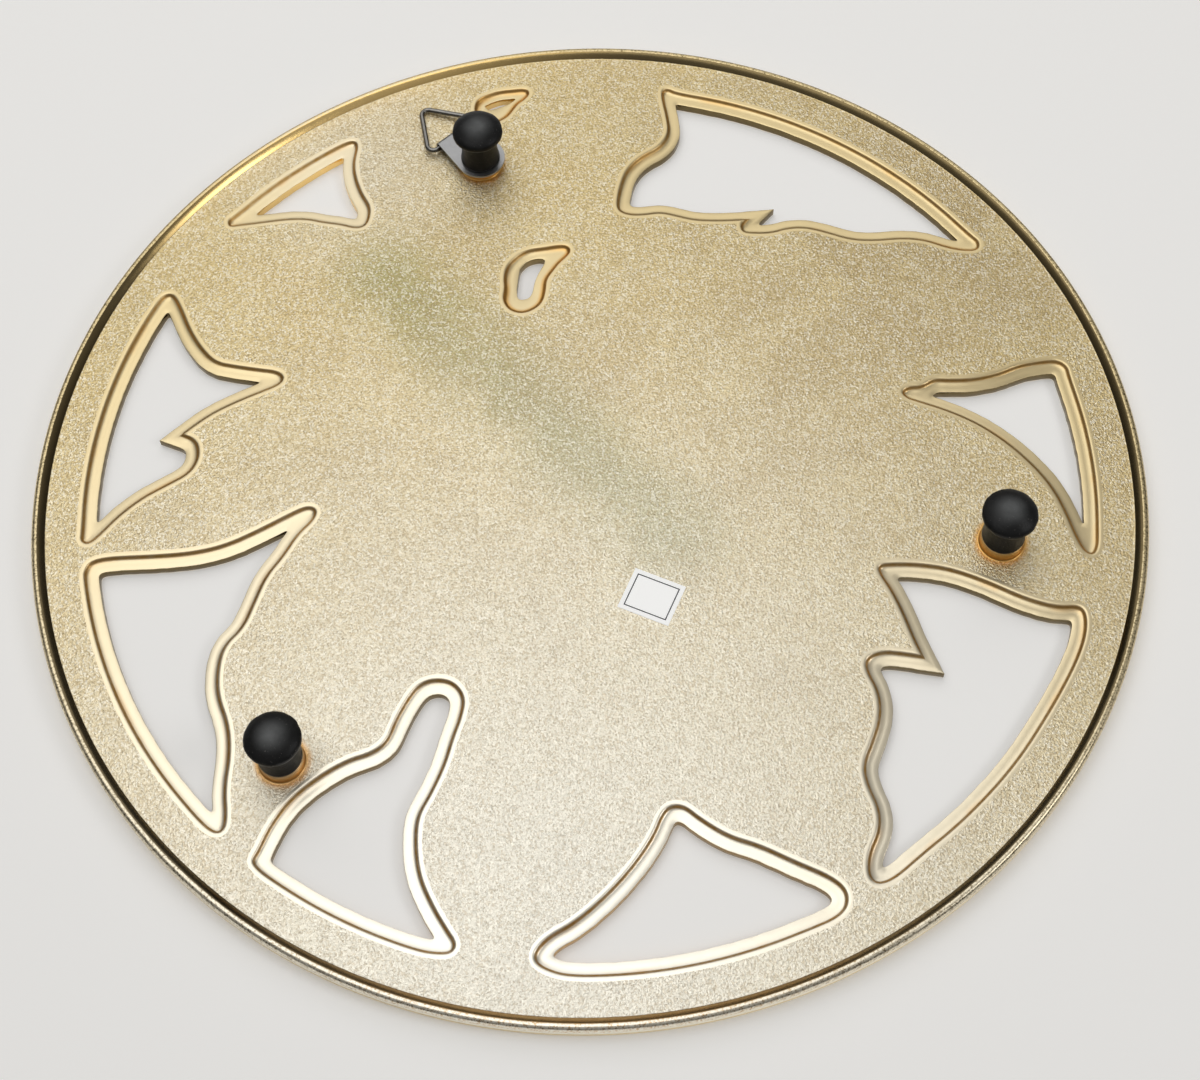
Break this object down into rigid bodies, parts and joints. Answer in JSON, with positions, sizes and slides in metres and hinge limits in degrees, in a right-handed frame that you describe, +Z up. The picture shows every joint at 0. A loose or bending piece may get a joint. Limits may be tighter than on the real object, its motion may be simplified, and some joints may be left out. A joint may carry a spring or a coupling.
{
  "type": "trivet",
  "caption": "Round cast metal trivet with a pierced motif, stepped borders, peg-mounted rubber feet and a folding wire ring for hanging it up.",
  "frame": {"origin": "centre of the round plate, on the table under its feet", "axes": "+Z up from the table through the plate, +Y towards the foot that carries the hanging ring, +X to the right as seen from the front in use"},
  "size_m": [0.2, 0.2, 0.0146],
  "materials": {
    "plated_casting": "pale gold, fine stippled cast ground with smooth polished borders",
    "black_rubber": "black, satin",
    "bright_sheet": "plated sheet, lightly worn",
    "bright_wire": "plated wire",
    "label_paper": "matt white with a thin ruled frame"
  },
  "bodies": {
    "plate": {"plate": "plated_casting", "foot_back": "black_rubber", "foot_left": "black_rubber", "foot_right": "black_rubber", "paper_label": "label_paper"},
    "strap": {"hanger_strap": "bright_sheet"},
    "ring": {"hanger_ring": "bright_wire"}
  },
  "joints": [
    {"name": "strap_swivel", "type": "hinge", "parent": "plate", "child": "strap", "pos_m": [0.018, 0.07219, 0.01006], "axis": [0, 0, 1], "continuous": true},
    {"name": "ring_swing", "type": "hinge", "parent": "strap", "child": "ring", "pos_m": [0.02314, 0.07832, 0.01082], "axis": [-0.766, 0.6428, 0], "range_deg": [0, 100]}
  ]
}
